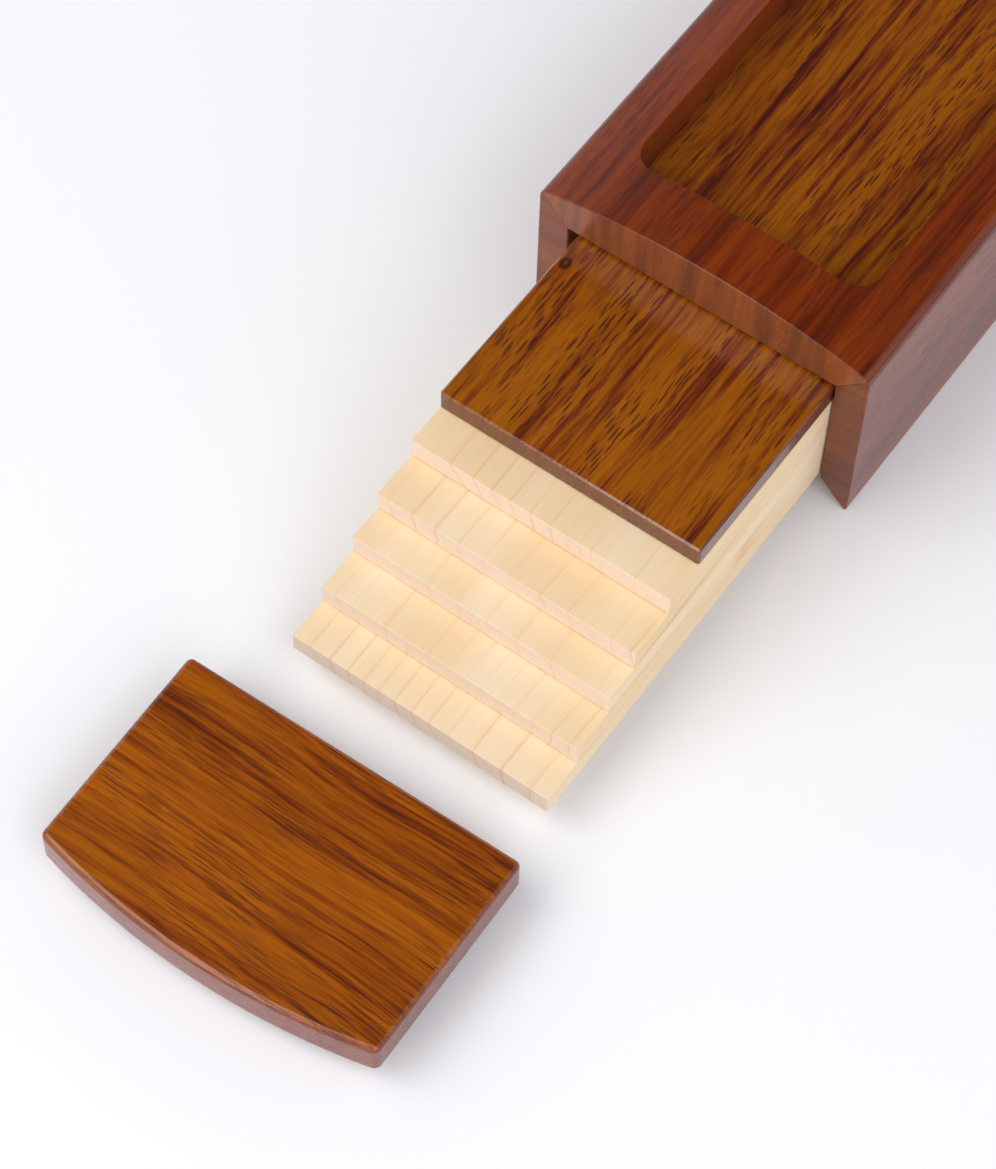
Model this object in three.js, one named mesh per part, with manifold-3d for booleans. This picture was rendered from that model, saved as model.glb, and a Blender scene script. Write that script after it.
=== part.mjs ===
// A small wooden memorial-tablet case, lying on its back with its end cap off.
// The case is four long mitred panels, an arched front with a window among them, and a fixed head plate.
// A stack of thin boards slides lengthwise through its open end, and the loose base cap, whose locating
// block drops into that end, lies on the same surface in front of the boards.
// Millimetres. X is across the case, Y runs from the open end towards the head, Z is up.
// The origin is the middle of the case's back, the face that it rests on.
import * as THREE from "three";
import { mergeVertices } from "three/addons/utils/BufferGeometryUtils.js";
import Module from "manifold-3d";

const wasm = await Module();
wasm.setup();

// Driving sizes: the boards come first, and the case is made to hold them.
const boardWidth = 45.5;
const boardLength = 121;
const boardThickness = 3.85;
const boardGap = 0.1; // air under each board of the stack
const sideClearance = 1.8; // cavity width beyond the boards' width
const rightWallGap = 0.2; // the stack is pushed over to the right wall
const headroom = 0.5; // air over the top board
const endClearance = 1; // air behind boards that are fully home
const pullOuts = [34.5, 41.6, 49.8, 55.9, 63.4, 70.6]; // how far each board stands out, top one first

const wallThickness = 5.35;
const backThickness = 5.2;
const frontEdgeThickness = 5.6; // the front panel at its two long edges
const archRise = 3.5; // how much thicker it is in the middle
const fingerNotch = 8; // the back panel stops this far short of the open end

const windowSideMargin = 8.25; // from the case's side to the window
const windowEndMargin = 11; // from the panel's end to the window
const windowRadius = 4.5;

const plateThickness = 6.8; // head plate and base cap are the same blank
const plateEdgeRadius = 1.3;
const blockDepth = 3.5; // the cap's locating block goes this far into the mouth
const blockClearance = 0.15; // all round, inside the mouth
const blockCornerRadius = 1.5;

const capGap = 11.4; // from the furthest board's end to the cap
const capShift = -2.5; // the cap lies a little to the left of the case
const capTurn = THREE.MathUtils.degToRad(1.3);

const archSegments = 14;
const cornerSegments = 4;
const past = 2; // a cutter runs this far past the faces that it cuts

// What follows from them.
const cavityWidth = boardWidth + sideClearance;
const cavityHeight = pullOuts.length * (boardThickness + boardGap) + headroom;
const caseWidth = cavityWidth + 2 * wallThickness;
const half = caseWidth / 2;
const halfCavity = cavityWidth / 2;
const innerTop = backThickness + cavityHeight;
const sideHeight = innerTop + frontEdgeThickness;
const archRadius = (half * half + archRise * archRise) / (2 * archRise);
const archCentreZ = sideHeight + archRise - archRadius;
const panelLength = blockDepth + boardLength + 2 * endClearance;
const openEnd = -panelLength / 2;
const headEnd = panelLength / 2;

const caseWood = { color: 0x6b3216, roughness: 0.42, metalness: 0 };
const capWood = { color: 0x82441a, roughness: 0.4, metalness: 0 };
const frontBoardWood = { color: 0x8a4a14, roughness: 0.3, metalness: 0 };
const paleWood = { color: 0xf3d8ae, roughness: 0.6, metalness: 0 };

function part(name, geometry, look) {
  const mesh = new THREE.Mesh(geometry, new THREE.MeshStandardMaterial(look));
  mesh.name = name;
  return mesh;
}

function outline(corners) {
  return new THREE.Shape(corners.map(([x, z]) => new THREE.Vector2(x, z)));
}

// A section drawn in X and Z becomes a straight length of wood from y = from to y = to.
function lengthOf(section, from, to) {
  const wood = new THREE.ExtrudeGeometry(section, {
    depth: to - from,
    bevelEnabled: false,
    curveSegments: archSegments,
  });
  return wood.rotateX(Math.PI / 2).translate(0, to, 0);
}

function solidOf(geometry) {
  const bare = geometry.clone();
  bare.deleteAttribute("normal");
  bare.deleteAttribute("uv");
  const merged = mergeVertices(bare, 1e-4);
  return new wasm.Manifold(
    new wasm.Mesh({
      numProp: 3,
      vertProperties: new Float32Array(merged.attributes.position.array),
      triVerts: new Uint32Array(merged.index.array),
    }),
  );
}

function geometryOf(solid) {
  const mesh = solid.getMesh();
  const geometry = new THREE.BufferGeometry();
  geometry.setAttribute("position", new THREE.BufferAttribute(mesh.vertProperties, 3));
  geometry.setIndex(new THREE.BufferAttribute(mesh.triVerts, 1));
  const flat = geometry.toNonIndexed();
  flat.computeVertexNormals();
  return flat;
}

// The arch over the front, from the right edge to the left one.
function arch(shape) {
  const edgeAngle = Math.asin((sideHeight - archCentreZ) / archRadius);
  shape.absarc(0, archCentreZ, archRadius, edgeAngle, Math.PI - edgeAngle, false);
}

function roundedRectangle(left, low, right, high, radius) {
  const shape = new THREE.Shape();
  shape.absarc(right - radius, low + radius, radius, -Math.PI / 2, 0, false);
  shape.absarc(right - radius, high - radius, radius, 0, Math.PI / 2, false);
  shape.absarc(left + radius, high - radius, radius, Math.PI / 2, Math.PI, false);
  shape.absarc(left + radius, low + radius, radius, Math.PI, Math.PI * 1.5, false);
  return shape;
}

// Flat inside, arched outside, with mitred long edges and the window cut through it.
function frontPanel() {
  const section = new THREE.Shape();
  section.moveTo(-halfCavity, innerTop);
  section.lineTo(halfCavity, innerTop);
  arch(section);
  const panel = lengthOf(section, openEnd, headEnd);
  const windowHalf = half - windowSideMargin;
  const cutter = new THREE.ExtrudeGeometry(
    roundedRectangle(
      -windowHalf,
      openEnd + windowEndMargin,
      windowHalf,
      headEnd - windowEndMargin,
      windowRadius,
    ),
    {
      depth: frontEdgeThickness + archRise + 2 * past,
      bevelEnabled: false,
      curveSegments: cornerSegments,
    },
  );
  cutter.translate(0, 0, innerTop - past);
  return geometryOf(solidOf(panel).subtract(solidOf(cutter)));
}

// A side wall, mitred to the front at its top and to the back at its foot. side is 1 or -1.
function sidePanel(side) {
  const corners = [
    [side * half, 0],
    [side * half, sideHeight],
    [side * halfCavity, innerTop],
    [side * halfCavity, backThickness],
  ];
  return lengthOf(outline(corners), openEnd, headEnd);
}

function backPanel() {
  const corners = [
    [-half, 0],
    [half, 0],
    [halfCavity, backThickness],
    [-halfCavity, backThickness],
  ];
  return lengthOf(outline(corners), openEnd + fingerNotch, headEnd);
}

// The arched plate that closes an end, with its edges rounded over on both faces.
function endPlate() {
  const shape = new THREE.Shape();
  shape.moveTo(-half, 0);
  shape.lineTo(half, 0);
  arch(shape);
  const plate = new THREE.ExtrudeGeometry(shape, {
    depth: plateThickness - 2 * plateEdgeRadius,
    bevelThickness: plateEdgeRadius,
    bevelSize: plateEdgeRadius,
    bevelOffset: -plateEdgeRadius,
    bevelSegments: cornerSegments,
    curveSegments: archSegments,
  });
  return plate.translate(0, 0, plateEdgeRadius);
}

function headPlate() {
  return endPlate().rotateX(Math.PI / 2).translate(0, headEnd + plateThickness, 0);
}

// The block under the cap is the size of the case's mouth, less its clearance.
function locatingBlock() {
  const shape = roundedRectangle(
    -halfCavity + blockClearance,
    backThickness + blockClearance,
    halfCavity - blockClearance,
    innerTop - blockClearance,
    blockCornerRadius,
  );
  return new THREE.ExtrudeGeometry(shape, {
    depth: blockDepth,
    bevelEnabled: false,
    curveSegments: cornerSegments,
  });
}

// The loose cap lies on its block, outer face up and arched edge away from the case.
function baseCap() {
  const cap = new THREE.Group();
  const plate = part("base_cap_plate", endPlate().translate(0, 0, blockDepth), capWood);
  const block = part("base_cap_block", locatingBlock(), capWood);
  cap.add(plate, block);
  cap.rotation.z = Math.PI + capTurn;
  cap.position.set(capShift, openEnd - Math.max(...pullOuts) - capGap, 0);
  return cap;
}

// Board number 0 is the dark front board on top of the stack, and the others are pale name boards.
function board(number) {
  const levelsBelow = pullOuts.length - 1 - number;
  const foot = backThickness + boardGap + levelsBelow * (boardThickness + boardGap);
  const name = number === 0 ? "front_board" : "name_board_" + number;
  const look = number === 0 ? frontBoardWood : paleWood;
  const mesh = part(name, new THREE.BoxGeometry(boardWidth, boardLength, boardThickness), look);
  mesh.position.set(
    halfCavity - rightWallGap - boardWidth / 2,
    openEnd - pullOuts[number] + boardLength / 2,
    foot + boardThickness / 2,
  );
  return mesh;
}

const tabletCase = new THREE.Group();
tabletCase.add(
  part("front_panel", frontPanel(), caseWood),
  part("left_side_panel", sidePanel(-1), caseWood),
  part("right_side_panel", sidePanel(1), caseWood),
  part("back_panel", backPanel(), caseWood),
  part("head_plate", headPlate(), caseWood),
  baseCap(),
);
for (let number = 0; number < pullOuts.length; number += 1) {
  tabletCase.add(board(number));
}

export default tabletCase;
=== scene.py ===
import math

import bpy
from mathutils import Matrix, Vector


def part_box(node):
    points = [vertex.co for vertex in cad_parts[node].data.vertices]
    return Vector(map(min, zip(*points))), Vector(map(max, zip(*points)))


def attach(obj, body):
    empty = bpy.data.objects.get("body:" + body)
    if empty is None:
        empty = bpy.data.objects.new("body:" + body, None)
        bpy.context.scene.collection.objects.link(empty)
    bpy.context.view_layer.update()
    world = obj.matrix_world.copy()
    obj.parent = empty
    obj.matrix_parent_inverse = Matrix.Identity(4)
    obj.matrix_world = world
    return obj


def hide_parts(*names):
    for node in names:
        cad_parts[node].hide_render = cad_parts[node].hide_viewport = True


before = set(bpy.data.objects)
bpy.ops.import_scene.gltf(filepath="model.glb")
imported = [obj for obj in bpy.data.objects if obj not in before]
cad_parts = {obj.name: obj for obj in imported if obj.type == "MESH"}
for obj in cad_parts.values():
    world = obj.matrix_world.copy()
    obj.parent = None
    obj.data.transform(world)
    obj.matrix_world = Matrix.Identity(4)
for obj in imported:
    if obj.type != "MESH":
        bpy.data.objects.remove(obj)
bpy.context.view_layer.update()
mm = 0.001
touching = 1e-6                     # metres between points that count as one
onPlane = 1e-7                      # metres from a saw's plane that count as on it
smoothFold = math.radians(32)       # folds gentler than this are shaded smooth
print("frame loaded:", len(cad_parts), "nodes")


def onlySelect(piece):
    bpy.ops.object.select_all(action="DESELECT")
    piece.select_set(True)
    bpy.context.view_layer.objects.active = piece


def addBlock(name, low, high):
    low, high = Vector(low), Vector(high)
    bpy.ops.object.select_all(action="DESELECT")
    bpy.ops.mesh.primitive_cube_add(size=1, location=(low + high) / 2, scale=high - low)
    bpy.ops.object.transform_apply(location=True, rotation=True, scale=True)
    block = bpy.context.object
    block.name = name
    return block


def applyModifier(piece, kind, **settings):
    onlySelect(piece)
    modifier = piece.modifiers.new(kind.lower(), kind)
    for key, value in settings.items():
        setattr(modifier, key, value)
    bpy.ops.object.modifier_apply(modifier=modifier.name)


def cutWith(piece, cutter, operation="DIFFERENCE"):
    applyModifier(piece, "BOOLEAN", object=cutter, operation=operation, solver="EXACT")
    bpy.data.objects.remove(cutter)


# Rounds over the edges that wanted(end, end) picks out by their place.
def roundEdges(piece, wanted, radius, segments):
    onlySelect(piece)
    bpy.ops.object.mode_set(mode="EDIT")
    bpy.ops.mesh.select_mode(type="EDGE")
    bpy.ops.mesh.select_all(action="DESELECT")
    bpy.ops.object.mode_set(mode="OBJECT")
    points = piece.data.vertices
    for edge in piece.data.edges:
        edge.select = wanted(points[edge.vertices[0]].co, points[edge.vertices[1]].co)
    bpy.ops.object.mode_set(mode="EDIT")
    bpy.ops.mesh.bevel(offset=radius, offset_type="OFFSET", segments=segments, affect="EDGES",
                       clamp_overlap=True)
    bpy.ops.object.mode_set(mode="OBJECT")


# Saws a piece along a plane, throws away the side that the plane's normal points to, and closes the cut.
def saw(piece, point, normal):
    onlySelect(piece)
    bpy.ops.object.mode_set(mode="EDIT")
    bpy.ops.mesh.select_all(action="SELECT")
    bpy.ops.mesh.bisect(plane_co=point, plane_no=normal, use_fill=True, clear_outer=True, threshold=onPlane)
    bpy.ops.object.mode_set(mode="OBJECT")


def copyOf(piece, name):
    onlySelect(piece)
    bpy.ops.object.duplicate()
    copy = bpy.context.object
    copy.name = name
    return copy


# Turns a piece about an upright line and leaves its object at the origin.
def turnPiece(piece, centre, angle):
    onlySelect(piece)
    piece.rotation_euler.z = angle
    piece.location = centre - piece.rotation_euler.to_matrix() @ centre
    bpy.ops.object.transform_apply(location=True, rotation=True, scale=True)


def finishPiece(piece, material, body, slot, *nodes):
    onlySelect(piece)
    bpy.ops.object.mode_set(mode="EDIT")
    bpy.ops.mesh.select_all(action="SELECT")
    bpy.ops.mesh.remove_doubles(threshold=touching)
    bpy.ops.mesh.normals_make_consistent(inside=False)
    bpy.ops.object.mode_set(mode="OBJECT")
    bpy.ops.object.shade_smooth_by_angle(angle=smoothFold)
    applyModifier(piece, "WEIGHTED_NORMAL", keep_sharp=True)    # flat faces stay flat beside rounded edges
    piece.data.materials.clear()
    piece.data.materials.append(material)
    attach(piece, body)
    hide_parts(*nodes)
    print("made", piece.name, len(piece.data.polygons), "faces")


def linear(hexColour):
    channels = [int(hexColour[i:i + 2], 16) / 255 for i in (1, 3, 5)]
    return tuple(c / 12.92 if c <= 0.04045 else ((c + 0.055) / 1.055) ** 2.4 for c in channels) + (1,)


# Adds a node with its settings and links. A key is a socket's name or number, a property, or a ramp's stops.
def addNode(tree, kind, settings={}, links={}):
    node = tree.nodes.new(kind)
    for key, value in settings.items():
        if key == "stops":
            while len(node.color_ramp.elements) < len(value):
                node.color_ramp.elements.new(0.5)
            for element, (place, colour) in zip(node.color_ramp.elements, value):
                element.position = place
                element.color = linear(colour) if isinstance(colour, str) else (colour, colour, colour, 1)
        elif isinstance(key, int) or key in node.inputs:
            node.inputs[key].default_value = value
        else:
            setattr(node, key, value)
    for key, source in links.items():
        tree.links.new(source, node.inputs[key])
    return node


def newMaterial(name):
    material = bpy.data.materials.new(name)
    material.use_nodes = True
    tree = material.node_tree
    tree.nodes.clear()
    shader = addNode(tree, "ShaderNodeBsdfPrincipled")
    addNode(tree, "ShaderNodeOutputMaterial", {}, {"Surface": shader.outputs[0]})
    return material, tree, shader


# Places in the plank that a piece is cut from, in millimetres across it, along its grain and through it.
def plankPlaces(tree, place, look):
    return addNode(tree, "ShaderNodeMapping", {
        "Location": look["cutFrom"], "Rotation": look["grainTurn"], "Scale": (1 / mm, 1 / mm, 1 / mm),
    }, {"Vector": place}).outputs[0]


# The layers of a wood's figure. Each has features of its own size: millimetres across, along and through.
def woodLayers(tree, grain, layers):
    made = {}
    for part, (across, along, through, detail, roughness) in layers.items():
        scaled = addNode(tree, "ShaderNodeMapping", {
            "Scale": (1 / across, 1 / along, 1 / through),
        }, {"Vector": grain}).outputs[0]
        made[part] = addNode(tree, "ShaderNodeTexNoise", {
            "Scale": 1, "Detail": detail, "Roughness": roughness,
        }, {"Vector": scaled}).outputs["Fac"]
    return made


# Bands and feathered streaks take their colours from the look's tones, and fibres make them uneven.
def hardwoodFigure(tree, layer, look):
    figure = addNode(tree, "ShaderNodeMath", {"operation": "MULTIPLY_ADD", 1: look["fibreShare"]}, {
        0: layer["fibres"], 2: layer["streaks"],
    }).outputs[0]
    figure = addNode(tree, "ShaderNodeMath", {"operation": "MULTIPLY_ADD", 1: look["bandShare"]}, {
        0: layer["bands"], 2: figure,
    }).outputs[0]
    colour = addNode(tree, "ShaderNodeValToRGB", {"stops": look["tones"]}, {"Fac": figure}).outputs["Color"]
    shade = addNode(tree, "ShaderNodeMapRange", {
        "From Min": 0.35, "From Max": 0.65, "To Min": 0.90, "To Max": 1.08,
    }, {"Value": layer["bands"]}).outputs[0]
    colour = addNode(tree, "ShaderNodeVectorMath", {"operation": "SCALE"}, {
        0: colour, "Scale": shade,
    }).outputs[0]
    fibre = addNode(tree, "ShaderNodeMapRange", {
        "From Min": 0.3, "From Max": 0.7, "To Min": 0.88, "To Max": 1.10,
    }, {"Value": layer["fibres"]}).outputs[0]
    colour = addNode(tree, "ShaderNodeVectorMath", {"operation": "SCALE"}, {
        0: colour, "Scale": fibre,
    }).outputs[0]
    return colour, fibre


# Sawn ends are a plainer orange brown, with soft bands where the streaks come through.
def hardwoodEnds(tree, colour, outward, layer, look):
    facing = addNode(tree, "ShaderNodeVectorMath", {"operation": "DOT_PRODUCT", 1: look["grainLine"]}, {
        0: outward,
    }).outputs["Value"]
    facing = addNode(tree, "ShaderNodeMath", {"operation": "ABSOLUTE"}, {0: facing}).outputs[0]
    end = addNode(tree, "ShaderNodeMapRange", {
        "From Min": 0.75, "From Max": 0.95, "To Max": look["endEvenness"],
    }, {"Value": facing}).outputs[0]
    band = addNode(tree, "ShaderNodeMapRange", {
        "From Min": 0.36, "From Max": 0.62, "To Min": 0.72, "To Max": 1.20,
    }, {"Value": layer["streaks"]}).outputs[0]
    endColour = addNode(tree, "ShaderNodeVectorMath", {
        "operation": "SCALE", 0: linear(look["end"])[:3],
    }, {"Scale": band}).outputs[0]
    return addNode(tree, "ShaderNodeMix", {"data_type": "RGBA"}, {
        0: end, 6: colour, 7: endColour,
    }).outputs[2]


# Painted shade: faces that don't look up are mixed towards the look's darker, redder side colour, standing in
# for the shade that falls on them beside a golden top.
def paintedSideShade(tree, colour, outward, look):
    upward = addNode(tree, "ShaderNodeSeparateXYZ", {}, {0: outward}).outputs["Z"]
    side = addNode(tree, "ShaderNodeMapRange", {
        "From Min": 0.85, "From Max": 0.35, "To Max": 0.75,
    }, {"Value": upward}).outputs[0]
    return addNode(tree, "ShaderNodeMix", {"data_type": "RGBA", 7: linear(look["side"])}, {
        0: side, 6: colour,
    }).outputs[2]


# Pores are dashes 0.2 to 0.3 mm wide and 3 to 5 mm long, a little coarser than real ones so that they show.
# They are crowded in some stretches of the plank and sparse in others.
def hardwoodPores(tree, grain, layer, look):
    scaled = addNode(tree, "ShaderNodeMapping", {
        "Scale": [1 / size for size in look["poreCell"]],
    }, {"Vector": grain}).outputs[0]
    nearest = addNode(tree, "ShaderNodeTexVoronoi", {"Scale": 1}, {"Vector": scaled}).outputs["Distance"]
    pores = addNode(tree, "ShaderNodeMapRange", {
        "From Min": 0.42, "From Max": 0.28,
    }, {"Value": nearest}).outputs[0]
    crowd = addNode(tree, "ShaderNodeMapRange", {
        "From Min": 0.62, "From Max": 0.40, "To Min": 0.12,
    }, {"Value": layer["crowding"]}).outputs[0]
    return addNode(tree, "ShaderNodeMath", {"operation": "MULTIPLY"}, {0: pores, 1: crowd}).outputs[0]


# A pin knot is drawn out along the grain: a dark ring round a paler heart.
def pinKnot(tree, colour, place, look):
    away = addNode(tree, "ShaderNodeVectorMath", {"operation": "SUBTRACT", 1: look["knot"]}, {
        0: place,
    }).outputs[0]
    oval = addNode(tree, "ShaderNodeVectorMath", {
        "operation": "MULTIPLY", 1: (1 / mm, 0.7 / mm, 0.3 / mm),
    }, {0: away}).outputs[0]
    reach = addNode(tree, "ShaderNodeVectorMath", {"operation": "LENGTH"}, {0: oval}).outputs["Value"]
    ring = addNode(tree, "ShaderNodeValToRGB", {
        "stops": [(0.0, 0.5), (0.3, 0.6), (0.5, 1.0), (0.8, 0.7), (1.0, 0.0)],
    }, {"Fac": reach}).outputs["Color"]
    return addNode(tree, "ShaderNodeMix", {"data_type": "RGBA", 7: linear(look["pore"])}, {
        0: ring, 6: colour,
    }).outputs[2]


# Figured dark hardwood under clear lacquer: golden and red-brown bands, feathered purple-dark streaks, and
# short dark pores that lie along the grain. The lacquer adds a soft shine, clearest on rounded edges.
def lacqueredHardwood(name, look):
    material, tree, shader = newMaterial(name)
    coordinates = addNode(tree, "ShaderNodeTexCoord")
    place, outward = coordinates.outputs["Object"], coordinates.outputs["Normal"]
    plank = plankPlaces(tree, place, look)

    # a slow wander, so that no line of the grain is dead straight
    slow = addNode(tree, "ShaderNodeMapping", {
        "Scale": [1 / size for size in look["wanderSize"]],
    }, {"Vector": plank}).outputs[0]
    wander = addNode(tree, "ShaderNodeTexNoise", {"Scale": 1, "Detail": 2}, {"Vector": slow}).outputs["Color"]
    grain = addNode(tree, "ShaderNodeVectorMath", {
        "operation": "MULTIPLY_ADD", 1: (look["wander"], 0, 0),
    }, {0: wander, 2: plank}).outputs[0]

    layer = woodLayers(tree, grain, look["layers"])
    colour, fibre = hardwoodFigure(tree, layer, look)
    colour = hardwoodEnds(tree, colour, outward, layer, look)
    # painted shade: faces that don't look up get the darker, redder side colour
    if "side" in look:
        colour = paintedSideShade(tree, colour, outward, look)
    pores = hardwoodPores(tree, grain, layer, look)
    depth = addNode(tree, "ShaderNodeMath", {"operation": "MULTIPLY", 1: look["poreDepth"]}, {
        0: pores,
    }).outputs[0]
    colour = addNode(tree, "ShaderNodeMix", {"data_type": "RGBA", 7: linear(look["pore"])}, {
        0: depth, 6: colour,
    }).outputs[2]
    if "knot" in look:
        colour = pinKnot(tree, colour, place, look)
    tree.links.new(colour, shader.inputs["Base Color"])

    rough = addNode(tree, "ShaderNodeMapRange", {
        "To Min": look["roughness"], "To Max": look["roughness"] + look["poreRoughness"],
    }, {"Value": pores}).outputs[0]
    tree.links.new(rough, shader.inputs["Roughness"])
    relief = addNode(tree, "ShaderNodeMath", {"operation": "MULTIPLY_ADD", 1: -0.6}, {    # pores are sunk
        0: pores, 2: fibre,
    }).outputs[0]
    bump = addNode(tree, "ShaderNodeBump", {
        "Strength": look["relief"], "Distance": look["reliefHeight"],
    }, {"Height": relief})
    tree.links.new(bump.outputs[0], shader.inputs["Normal"])
    shader.inputs["IOR"].default_value = look["ior"]
    shader.inputs["Coat Weight"].default_value = look["lacquer"]
    shader.inputs["Coat Roughness"].default_value = look["lacquerRoughness"]
    return material


# Growth lines are rings round the heart of a tree that stood to one side, so they run straight along a board
# and slant across its ends. They fade in and out along the way.
def growthLines(tree, plank, layer, look):
    offset = addNode(tree, "ShaderNodeMapping", {"Location": look["heart"], "Scale": (1, 0, 1)}, {
        "Vector": plank,
    }).outputs[0]
    reach = addNode(tree, "ShaderNodeVectorMath", {"operation": "LENGTH"}, {0: offset}).outputs["Value"]
    reach = addNode(tree, "ShaderNodeMath", {"operation": "MULTIPLY_ADD", 1: look["unevenness"]}, {
        0: layer["growth"], 2: reach,
    }).outputs[0]
    years = addNode(tree, "ShaderNodeMath", {"operation": "MULTIPLY", 1: 1 / look["ringWidth"]}, {
        0: reach,
    }).outputs[0]
    year = addNode(tree, "ShaderNodeMath", {"operation": "FRACT"}, {0: years}).outputs[0]
    line = addNode(tree, "ShaderNodeValToRGB", {
        "stops": [(0.0, 0.0), (0.78, 0.04), (0.91, 0.45), (0.95, 1.0), (1.0, 0.0)],
    }, {"Fac": year}).outputs["Color"]
    faint = addNode(tree, "ShaderNodeMapRange", {
        "From Min": 0.36, "From Max": 0.64,
        "To Min": look["faintest"] * look["lineDepth"], "To Max": look["lineDepth"],
    }, {"Value": layer["fading"]}).outputs[0]
    return addNode(tree, "ShaderNodeMath", {"operation": "MULTIPLY"}, {0: line, 1: faint}).outputs[0]


# Planed pale softwood with no finish: cream and dull, with thin orange growth lines and paler, pinker ends.
def planedSoftwood(name, look):
    material, tree, shader = newMaterial(name)
    coordinates = addNode(tree, "ShaderNodeTexCoord")
    place, outward = coordinates.outputs["Object"], coordinates.outputs["Normal"]
    plank = plankPlaces(tree, place, look)
    layer = woodLayers(tree, plank, look["layers"])
    lines = growthLines(tree, plank, layer, look)
    tone = addNode(tree, "ShaderNodeValToRGB", {"stops": look["tones"]}, {
        "Fac": layer["bands"],
    }).outputs["Color"]
    facing = addNode(tree, "ShaderNodeSeparateXYZ", {}, {0: outward}).outputs["Y"]
    facing = addNode(tree, "ShaderNodeMath", {"operation": "ABSOLUTE"}, {0: facing}).outputs[0]
    end = addNode(tree, "ShaderNodeMapRange", {
        "From Min": 0.75, "From Max": 0.95,
    }, {"Value": facing}).outputs[0]
    tone = addNode(tree, "ShaderNodeMix", {"data_type": "RGBA", 7: linear(look["end"])}, {
        0: end, 6: tone,
    }).outputs[2]
    colour = addNode(tree, "ShaderNodeMix", {"data_type": "RGBA", 7: linear(look["line"])}, {
        0: lines, 6: tone,
    }).outputs[2]
    fibre = addNode(tree, "ShaderNodeMapRange", {
        "From Min": 0.3, "From Max": 0.7, "To Min": 0.97, "To Max": 1.015,
    }, {"Value": layer["fibres"]}).outputs[0]
    colour = addNode(tree, "ShaderNodeVectorMath", {"operation": "SCALE"}, {
        0: colour, "Scale": fibre,
    }).outputs[0]
    tree.links.new(colour, shader.inputs["Base Color"])
    bump = addNode(tree, "ShaderNodeBump", {
        "Strength": look["relief"], "Distance": look["reliefHeight"],
    }, {"Height": layer["fibres"]})
    tree.links.new(bump.outputs[0], shader.inputs["Normal"])
    shader.inputs["Roughness"].default_value = look["roughness"]
    shader.inputs["IOR"].default_value = look["ior"]
    return material


# how a plank is turned: flat, on edge in a side wall, crosswise in the cap, and standing in the head plate
flatPlank, edgePlank = (0, 0, 0), (0, math.pi / 2, 0)
crossPlank, standingPlank = (0, 0, math.pi / 2), (math.pi / 2, 0, math.pi / 2)
caseLook = {
    "cutFrom": (0, 0, 0), "grainTurn": flatPlank, "grainLine": (0, 1, 0),
    "wander": 3, "wanderSize": (20, 46, 30),
    "layers": {    # millimetres across, along and through the plank, then the noise's detail and roughness
        "bands": (8, 90, 40, 1, 0.5), "streaks": (1.9, 44, 22, 3, 0.55),
        "fibres": (0.4, 8, 0.4, 2, 0.6),    # real ones are far finer: these are coarse enough to show
        "crowding": (6, 30, 14, 1, 0.5),
    },
    "fibreShare": 0.22, "bandShare": 0.35,
    "tones": [(0.60, "#5c1e06"), (0.70, "#6e2706"), (0.80, "#7a2e06"), (0.92, "#833507")],
    "end": "#93501f", "endEvenness": 0.6,
    "poreCell": (0.45, 4.2, 0.45), "pore": "#33100a", "poreDepth": 0.5, "poreRoughness": 0.08,
    "roughness": 0.26, "ior": 1.5, "relief": 0.2, "reliefHeight": 0.03 * mm,
    "lacquer": 0.12, "lacquerRoughness": 0.18,
}
lacqueredFront = lacqueredHardwood("lacqueredHardwoodFront", dict(caseLook, cutFrom=(11, 3, 7)))
lacqueredLeft = lacqueredHardwood("lacqueredHardwoodLeft", dict(
    caseLook, cutFrom=(43, 9, 21), grainTurn=edgePlank, end="#844420"))
lacqueredRight = lacqueredHardwood("lacqueredHardwoodRight", dict(
    caseLook, cutFrom=(87, 31, 5), grainTurn=edgePlank, end="#733810"))
lacqueredBack = lacqueredHardwood("lacqueredHardwoodBack", dict(caseLook, cutFrom=(178, 17, 63)))
print("lacquered woods of the case mixed")

# The case is one hollow block, shaped whole and then sawn apart along its mitres.
caseSizes = {
    "topCornerRadius": 1.4 * mm, "topCornerSegments": 5,
    "footCornerRadius": 0.8 * mm, "footCornerSegments": 4,
    "arris": 0.3 * mm,          # the easing of the open end's edges
    "arrisSegments": 1, "notchArrisSegments": 3,
    "windowArris": 0.5 * mm, "windowArrisSegments": 3,
    "windowCorner": 4.5 * mm, "windowCornerSegments": 10,
    "glueLine": 0.03 * mm,      # half the width of a mitre joint's line
    "archFacets": 360,
}
frontLow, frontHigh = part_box("front_panel")
sideLow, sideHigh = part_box("right_side_panel")
backLow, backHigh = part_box("back_panel")
half, openEnd, headEnd = frontHigh.x, frontLow.y, frontHigh.y
innerTop, sideHeight, archTop = frontLow.z, sideHigh.z, frontHigh.z
halfCavity, backTop = sideLow.x, backHigh.z
archRise = archTop - sideHeight
archRadius = (half ** 2 + archRise ** 2) / (2 * archRise)
past = 5 * mm    # how far a cutter runs past what it cuts


# A long round bar whose top is the arch. Its axis runs along Y, or along Z if it stands.
def addArchBar(centre, length, standing=False):
    bpy.ops.object.select_all(action="DESELECT")
    turn = (0, 0, 0) if standing else (math.pi / 2, 0, 0)
    bpy.ops.mesh.primitive_cylinder_add(vertices=caseSizes["archFacets"], radius=archRadius, depth=length,
                                        location=centre, rotation=turn)
    bpy.ops.object.transform_apply(location=True, rotation=True, scale=True)
    return bpy.context.object


def windowOpening():
    inside = [v.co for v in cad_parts["front_panel"].data.vertices
              if abs(v.co.x) < halfCavity - mm and abs(v.co.y) < headEnd - mm]
    low = Vector(min(p[i] for p in inside) for i in range(3))
    high = Vector(max(p[i] for p in inside) for i in range(3))
    return low, high


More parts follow.
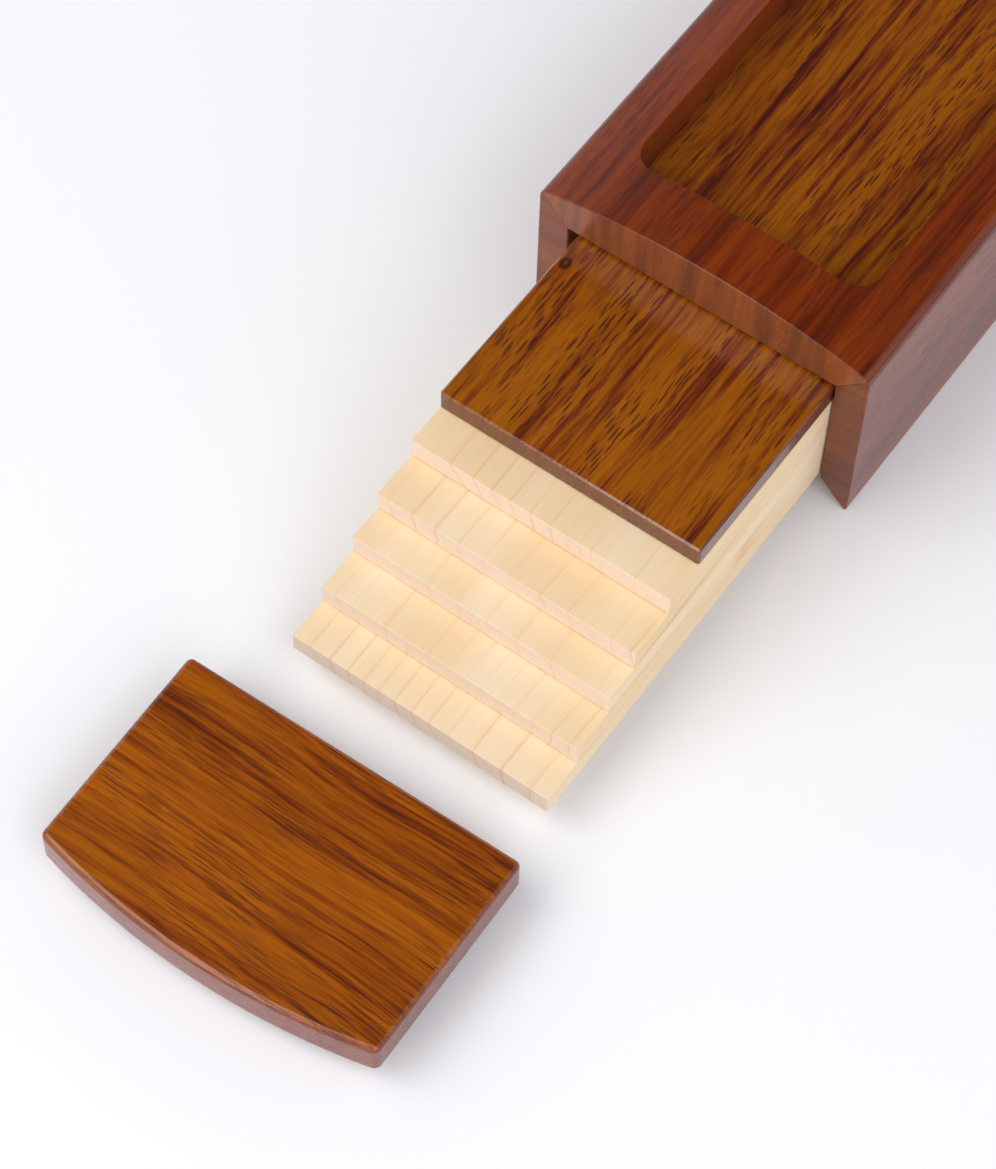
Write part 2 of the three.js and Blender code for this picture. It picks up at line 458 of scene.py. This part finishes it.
def cutWindow(shell):
    low, high = windowOpening()
    cutter = addBlock("window", (low.x, low.y, innerTop - past), (high.x, high.y, archTop + past))
    roundEdges(cutter, lambda a, b: abs(a.z - b.z) > mm,
               caseSizes["windowCorner"], caseSizes["windowCornerSegments"])
    cutWith(shell, cutter)
    slack = 10 * touching

    def atWindow(p):
        return low.x - slack < p.x < high.x + slack and low.y - slack < p.y < high.y + slack
    roundEdges(shell, lambda a, b: atWindow(a) and atWindow(b) and abs(a.z - b.z) < 2 * mm,
               caseSizes["windowArris"], caseSizes["windowArrisSegments"])


def makeShell():
    shell = addBlock("case_shell", (-half, openEnd, 0), (half, headEnd, archTop + past))
    cutWith(shell, addArchBar((0, 0, archTop - archRadius), headEnd - openEnd + 2 * past), "INTERSECT")

    def isLongEdge(a, b, height):
        onSide = abs(abs(a.x) - half) < touching and abs(abs(b.x) - half) < touching
        return onSide and abs(a.y - b.y) > mm and abs(a.z - height) < mm and abs(b.z - height) < mm
    roundEdges(shell, lambda a, b: isLongEdge(a, b, sideHeight),
               caseSizes["topCornerRadius"], caseSizes["topCornerSegments"])
    roundEdges(shell, lambda a, b: isLongEdge(a, b, 0),
               caseSizes["footCornerRadius"], caseSizes["footCornerSegments"])

    cutWith(shell, addBlock("cavity", (-halfCavity, openEnd - past, backTop),
                            (halfCavity, headEnd + past, innerTop)))
    cutWindow(shell)
    roundEdges(shell, lambda a, b: max(a.y, b.y) < openEnd + touching,
               caseSizes["arris"], caseSizes["arrisSegments"])
    return shell


def makeCase():
    shell = makeShell()
    gap = caseSizes["glueLine"]
    topCorner, footCorner = Vector((halfCavity, 0, innerTop)), Vector((halfCavity, 0, backTop))
    topMitre = Vector((half, 0, sideHeight)) - topCorner
    footMitre = Vector((half, 0, 0)) - footCorner
    upAndIn = Vector((-topMitre.z, 0, topMitre.x)).normalized()         # from the right wall to the front
    downAndIn = Vector((footMitre.z, 0, -footMitre.x)).normalized()     # from the right wall to the back
    asIs, flip = Vector((1, 1, 1)), Vector((-1, 1, 1))

    front = copyOf(shell, "arched_front")
    back = copyOf(shell, "back_board")
    for mirror in (asIs, flip):
        saw(front, (topCorner + upAndIn * gap) * mirror, -upAndIn * mirror)
        saw(back, (footCorner + downAndIn * gap) * mirror, -downAndIn * mirror)
    saw(front, (0, 0, innerTop - mm), (0, 0, -1))    # the top mitres' planes meet inside the back
    saw(back, (0, backLow.y, 0), (0, -1, 0))
    roundEdges(back, lambda a, b: max(a.y, b.y) < backLow.y + touching,
               caseSizes["arris"], caseSizes["notchArrisSegments"])
    finishPiece(front, lacqueredFront, "case", "case_wood", "front_panel")
    finishPiece(back, lacqueredBack, "case", "case_wood", "back_panel")

    for name, node, mirror, wood in (("right_wall", "right_side_panel", asIs, lacqueredRight),
                                     ("left_wall", "left_side_panel", flip, lacqueredLeft)):
        wall = copyOf(shell, name)
        saw(wall, (topCorner - upAndIn * gap) * mirror, upAndIn * mirror)
        saw(wall, (footCorner - downAndIn * gap) * mirror, downAndIn * mirror)
        finishPiece(wall, wood, "case", "case_wood", node)
    bpy.data.objects.remove(shell)
    print("case sawn into its front, back and two walls")


# the two arched end plates, rounded over on every edge
plateSizes = {"edgeRadius": 1.0 * mm, "edgeSegments": 6, "sharpFold": math.radians(35)}


def roundPlate(plate):
    applyModifier(plate, "BEVEL", width=plateSizes["edgeRadius"], segments=plateSizes["edgeSegments"],
                  limit_method="ANGLE", angle_limit=plateSizes["sharpFold"])


headLook = dict(caseLook, cutFrom=(23, 67, 11), grainTurn=standingPlank, grainLine=(1, 0, 0))


def makeHeadPlate():
    low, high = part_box("head_plate")
    plate = addBlock("head_plate_rounded", low, high + Vector((0, 0, past)))
    cutWith(plate, addArchBar((0, (low.y + high.y) / 2, archTop - archRadius), 4 * past), "INTERSECT")
    roundPlate(plate)
    lacqueredHead = lacqueredHardwood("lacqueredHardwoodHead", headLook)
    finishPiece(plate, lacqueredHead, "case", "case_wood", "head_plate")


# The loose cap is a plate on a locating block, turned a little from square with the case.
capSizes = {
    "turn": math.radians(1.3),
    "blockClearance": 0.15 * mm,    # on each side of the block, inside the open end
    "blockCorner": 1.5 * mm, "blockCornerSegments": 5,
    "blockFoot": 0.6 * mm, "blockFootSegments": 3,
}
capLook = dict(
    # side is the painted shade colour for the cap's faces that don't look up
    caseLook, cutFrom=(61, 83, 29), grainTurn=crossPlank, grainLine=(1, 0, 0), side="#7a3022",
    tones=[(0.56, "#60260b"), (0.66, "#7e3808"), (0.77, "#954a08"), (0.89, "#a25608")],
    poreCell=(0.3, 7, 0.3), poreDepth=0.7, lacquer=0.2, roughness=0.22, relief=0.15,
    layers=dict(caseLook["layers"], streaks=(1.0, 34, 14, 4, 0.62), bands=(11, 90, 40, 1, 0.5)))


def makeCap():
    lacqueredCap = lacqueredHardwood("lacqueredHardwoodCap", capLook)
    low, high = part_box("base_cap_plate")
    middle = (low + high) / 2
    straightEdge = middle.y + archTop / 2
    plate = addBlock("base_cap_rounded", (middle.x - half, straightEdge - archTop - past, low.z),
                     (middle.x + half, straightEdge, high.z))
    arch = addArchBar((middle.x, straightEdge - archTop + archRadius, middle.z), 4 * past, standing=True)
    cutWith(plate, arch, "INTERSECT")
    roundPlate(plate)
    turnPiece(plate, middle, capSizes["turn"])
    finishPiece(plate, lacqueredCap, "base_cap", "cap_wood", "base_cap_plate")

    low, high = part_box("base_cap_block")
    middle = (low + high) / 2
    reachX = halfCavity - capSizes["blockClearance"]
    reachY = (innerTop - backTop) / 2 - capSizes["blockClearance"]
    block = addBlock("base_cap_locating_block", (middle.x - reachX, middle.y - reachY, low.z),
                     (middle.x + reachX, middle.y + reachY, high.z))
    roundEdges(block, lambda a, b: abs(a.z - b.z) > mm,
               capSizes["blockCorner"], capSizes["blockCornerSegments"])
    roundEdges(block, lambda a, b: max(a.z, b.z) < low.z + touching,
               capSizes["blockFoot"], capSizes["blockFootSegments"])
    turnPiece(block, middle, capSizes["turn"])
    finishPiece(block, lacqueredCap, "base_cap", "cap_wood", "base_cap_block")


frontBoardSizes = {
    "arris": 0.3 * mm, "arrisSegments": 1,
    "knotFromEdge": 1.5 * mm, "knotFromCase": 5 * mm,
}
frontBoardLook = dict(
    # side is the painted shade colour for the board's faces that don't look up
    caseLook, cutFrom=(5, 2, 1), side="#5a2812",
    tones=[(0.56, "#4a1712"), (0.65, "#6b2b10"), (0.74, "#86420c"), (0.86, "#985409")],
    poreCell=(0.48, 4.6, 0.48), pore="#3c1110", poreDepth=0.8,
    roughness=0.22, lacquer=0.4, lacquerRoughness=0.06,
    layers=dict(caseLook["layers"], streaks=(1.4, 30, 22, 3, 0.58)))


def makeFrontBoard():
    low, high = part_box("front_board")
    knot = (low.x + frontBoardSizes["knotFromEdge"], openEnd - frontBoardSizes["knotFromCase"], high.z)
    glossyBoard = lacqueredHardwood("glossyFiguredHardwood", dict(frontBoardLook, knot=knot))
    board = addBlock("front_board_lacquered", low, high)
    applyModifier(board, "BEVEL", width=frontBoardSizes["arris"], segments=frontBoardSizes["arrisSegments"],
                  limit_method="ANGLE")
    finishPiece(board, glossyBoard, "front_board", "front_board_wood", "front_board")


nameBoardSizes = {"arris": 0.25 * mm, "arrisSegments": 2}
nameBoardLook = {
    "layers": {
        "growth": (30, 300, 30, 1, 0.5), "fading": (7, 36, 9, 1, 0.5), "bands": (14, 60, 14, 2, 0.5),
        "fibres": (0.5, 12, 0.5, 2, 0.6),    # coarser than real ones, so that they show
    },
    "heart": (140, 0, 60), "unevenness": 14, "faintest": 0.15, "line": "#d9954c", "end": "#f0d8c2",
    "tones": [(0.34, "#efd1a5"), (0.50, "#f2d8b0"), (0.66, "#f4debb")],
    "roughness": 0.62, "ior": 1.45, "relief": 0.4, "reliefHeight": 0.02 * mm,
}
nameBoardCut = (37, 211, 0)    # millimetres from one board's place in the plank to the next board's
nameBoardGrain = [    # degrees off the board's length, millimetres between growth lines, how dark they are
    {"stray": -1.5, "ringWidth": 2.6, "lineDepth": 0.45},
    {"stray": 1.0, "ringWidth": 4.2, "lineDepth": 0.5},
    {"stray": -0.6, "ringWidth": 5.2, "lineDepth": 0.22},
    {"stray": 1.8, "ringWidth": 3.3, "lineDepth": 0.4},
    {"stray": -1.2, "ringWidth": 3.6, "lineDepth": 0.45},
]


def makeNameBoards():
    for number, grain in enumerate(nameBoardGrain, start=1):
        node = "name_board_" + str(number)
        low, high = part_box(node)
        board = addBlock(node + "_planed", low, high)
        applyModifier(board, "BEVEL", width=nameBoardSizes["arris"], segments=nameBoardSizes["arrisSegments"],
                      limit_method="ANGLE")
        wood = planedSoftwood("planedSoftwood" + str(number), dict(
            nameBoardLook, **grain, cutFrom=[step * number for step in nameBoardCut],
            grainTurn=(0, 0, math.radians(grain["stray"]))))
        finishPiece(board, wood, node, "name_board_wood", node)


makeCase()
makeHeadPlate()
makeCap()
makeFrontBoard()
makeNameBoards()
print("all pieces made")

floorLook = {"size": 6.0, "colour": "#fbfcfe", "roughness": 0.9, "shine": 0.1}


def makeFloor():
    bpy.ops.object.select_all(action="DESELECT")
    bpy.ops.mesh.primitive_plane_add(size=floorLook["size"], location=(0, 0, 0))
    floor = bpy.context.object
    floor.name = "floor"
    material, tree, shader = newMaterial("mattWhitePaper")    # plain white with hardly any shine
    shader.inputs["Base Color"].default_value = linear(floorLook["colour"])
    shader.inputs["Roughness"].default_value = floorLook["roughness"]
    shader.inputs["Specular IOR Level"].default_value = floorLook["shine"]
    floor.data.materials.append(material)
    print("floor laid")


# each light's place is in metres from the middle of the open end
lights = {
    "key": {"from": (-0.45, -0.50, 0.95), "size": 0.85, "watts": 5.2, "colour": "#fffdf9"},
    "fill": {"from": (0.70, -0.45, 0.75), "size": 0.8, "watts": 3.4, "colour": "#fcfcff"},
    "front": {"from": (-0.2, -1.1, 0.5), "size": 0.28, "watts": 1.2, "colour": "#fffcf8"},
}
room = {"white": 0.73, "colour": "#f8f9ff", "flag": (-0.12, 0.42, 0.90), "flagInner": 0.92, "flagOuter": 0.80,
        "flagLight": 0.02}


# Large softboxes high on the left and the right and a small one low in front, in an evenly white room. A dark
# flag hangs high behind the case, so that flat tops keep their full colour, while rounded edges and upright
# faces catch the white.
def makeLights(target):
    for name, light in lights.items():
        spot = target + Vector(light["from"])
        bpy.ops.object.light_add(type="AREA", location=spot)
        lamp = bpy.context.object
        lamp.name = name
        lamp.rotation_euler = (target - spot).to_track_quat("-Z", "Y").to_euler()
        lamp.data.size = light["size"]
        lamp.data.energy = light["watts"]
        lamp.data.color = linear(light["colour"])[:3]
        lamp.visible_camera = False
    world = bpy.data.worlds.new("softRoom")
    bpy.context.scene.world = world
    world.use_nodes = True
    tree = world.node_tree
    background = tree.nodes["Background"]
    background.inputs["Color"].default_value = linear(room["colour"])
    toward = addNode(tree, "ShaderNodeTexCoord").outputs["Object"]
    near = addNode(tree, "ShaderNodeVectorMath", {
        "operation": "DOT_PRODUCT", 1: Vector(room["flag"]).normalized(),
    }, {0: toward}).outputs["Value"]
    glow = addNode(tree, "ShaderNodeMapRange", {
        "interpolation_type": "SMOOTHSTEP", "From Min": room["flagOuter"], "From Max": room["flagInner"],
        "To Min": room["white"], "To Max": room["flagLight"],
    }, {"Value": near}).outputs[0]
    tree.links.new(glow, background.inputs["Strength"])
    print("lights set:", ", ".join(lights))


# aim is measured from the middle of the case's open end, at the surface that it lies on
view = {
    "aim": (-1.0 * mm, -48.9 * mm, 15 * mm), "azimuth": 34.06, "elevation": 59.47, "roll": 1.94,
    "distance": 508.4 * mm, "lens": 108.4, "sensor": 36, "nearest": 0.01, "farthest": 20,
}


def makeCamera():
    aim = Vector(view["aim"]) + Vector((0, openEnd, 0))
    azimuth, elevation = math.radians(view["azimuth"]), math.radians(view["elevation"])
    back = Vector((math.sin(azimuth) * math.cos(elevation), -math.cos(azimuth) * math.cos(elevation),
                   math.sin(elevation)))
    bpy.ops.object.camera_add(location=aim + back * view["distance"])
    camera = bpy.context.object
    camera.name = "camera"
    camera.rotation_euler = (-back).to_track_quat("-Z", "Y").to_euler()
    camera.rotation_euler.rotate_axis("Z", math.radians(view["roll"]))
    camera.data.lens = view["lens"]
    camera.data.sensor_width = view["sensor"]
    camera.data.clip_start, camera.data.clip_end = view["nearest"], view["farthest"]
    bpy.context.scene.camera = camera
    bpy.context.scene.view_settings.view_transform = "Standard"    # white stays white and woods rich
    print("camera set")


makeFloor()
makeLights(Vector((0, openEnd, 0)))
makeCamera()
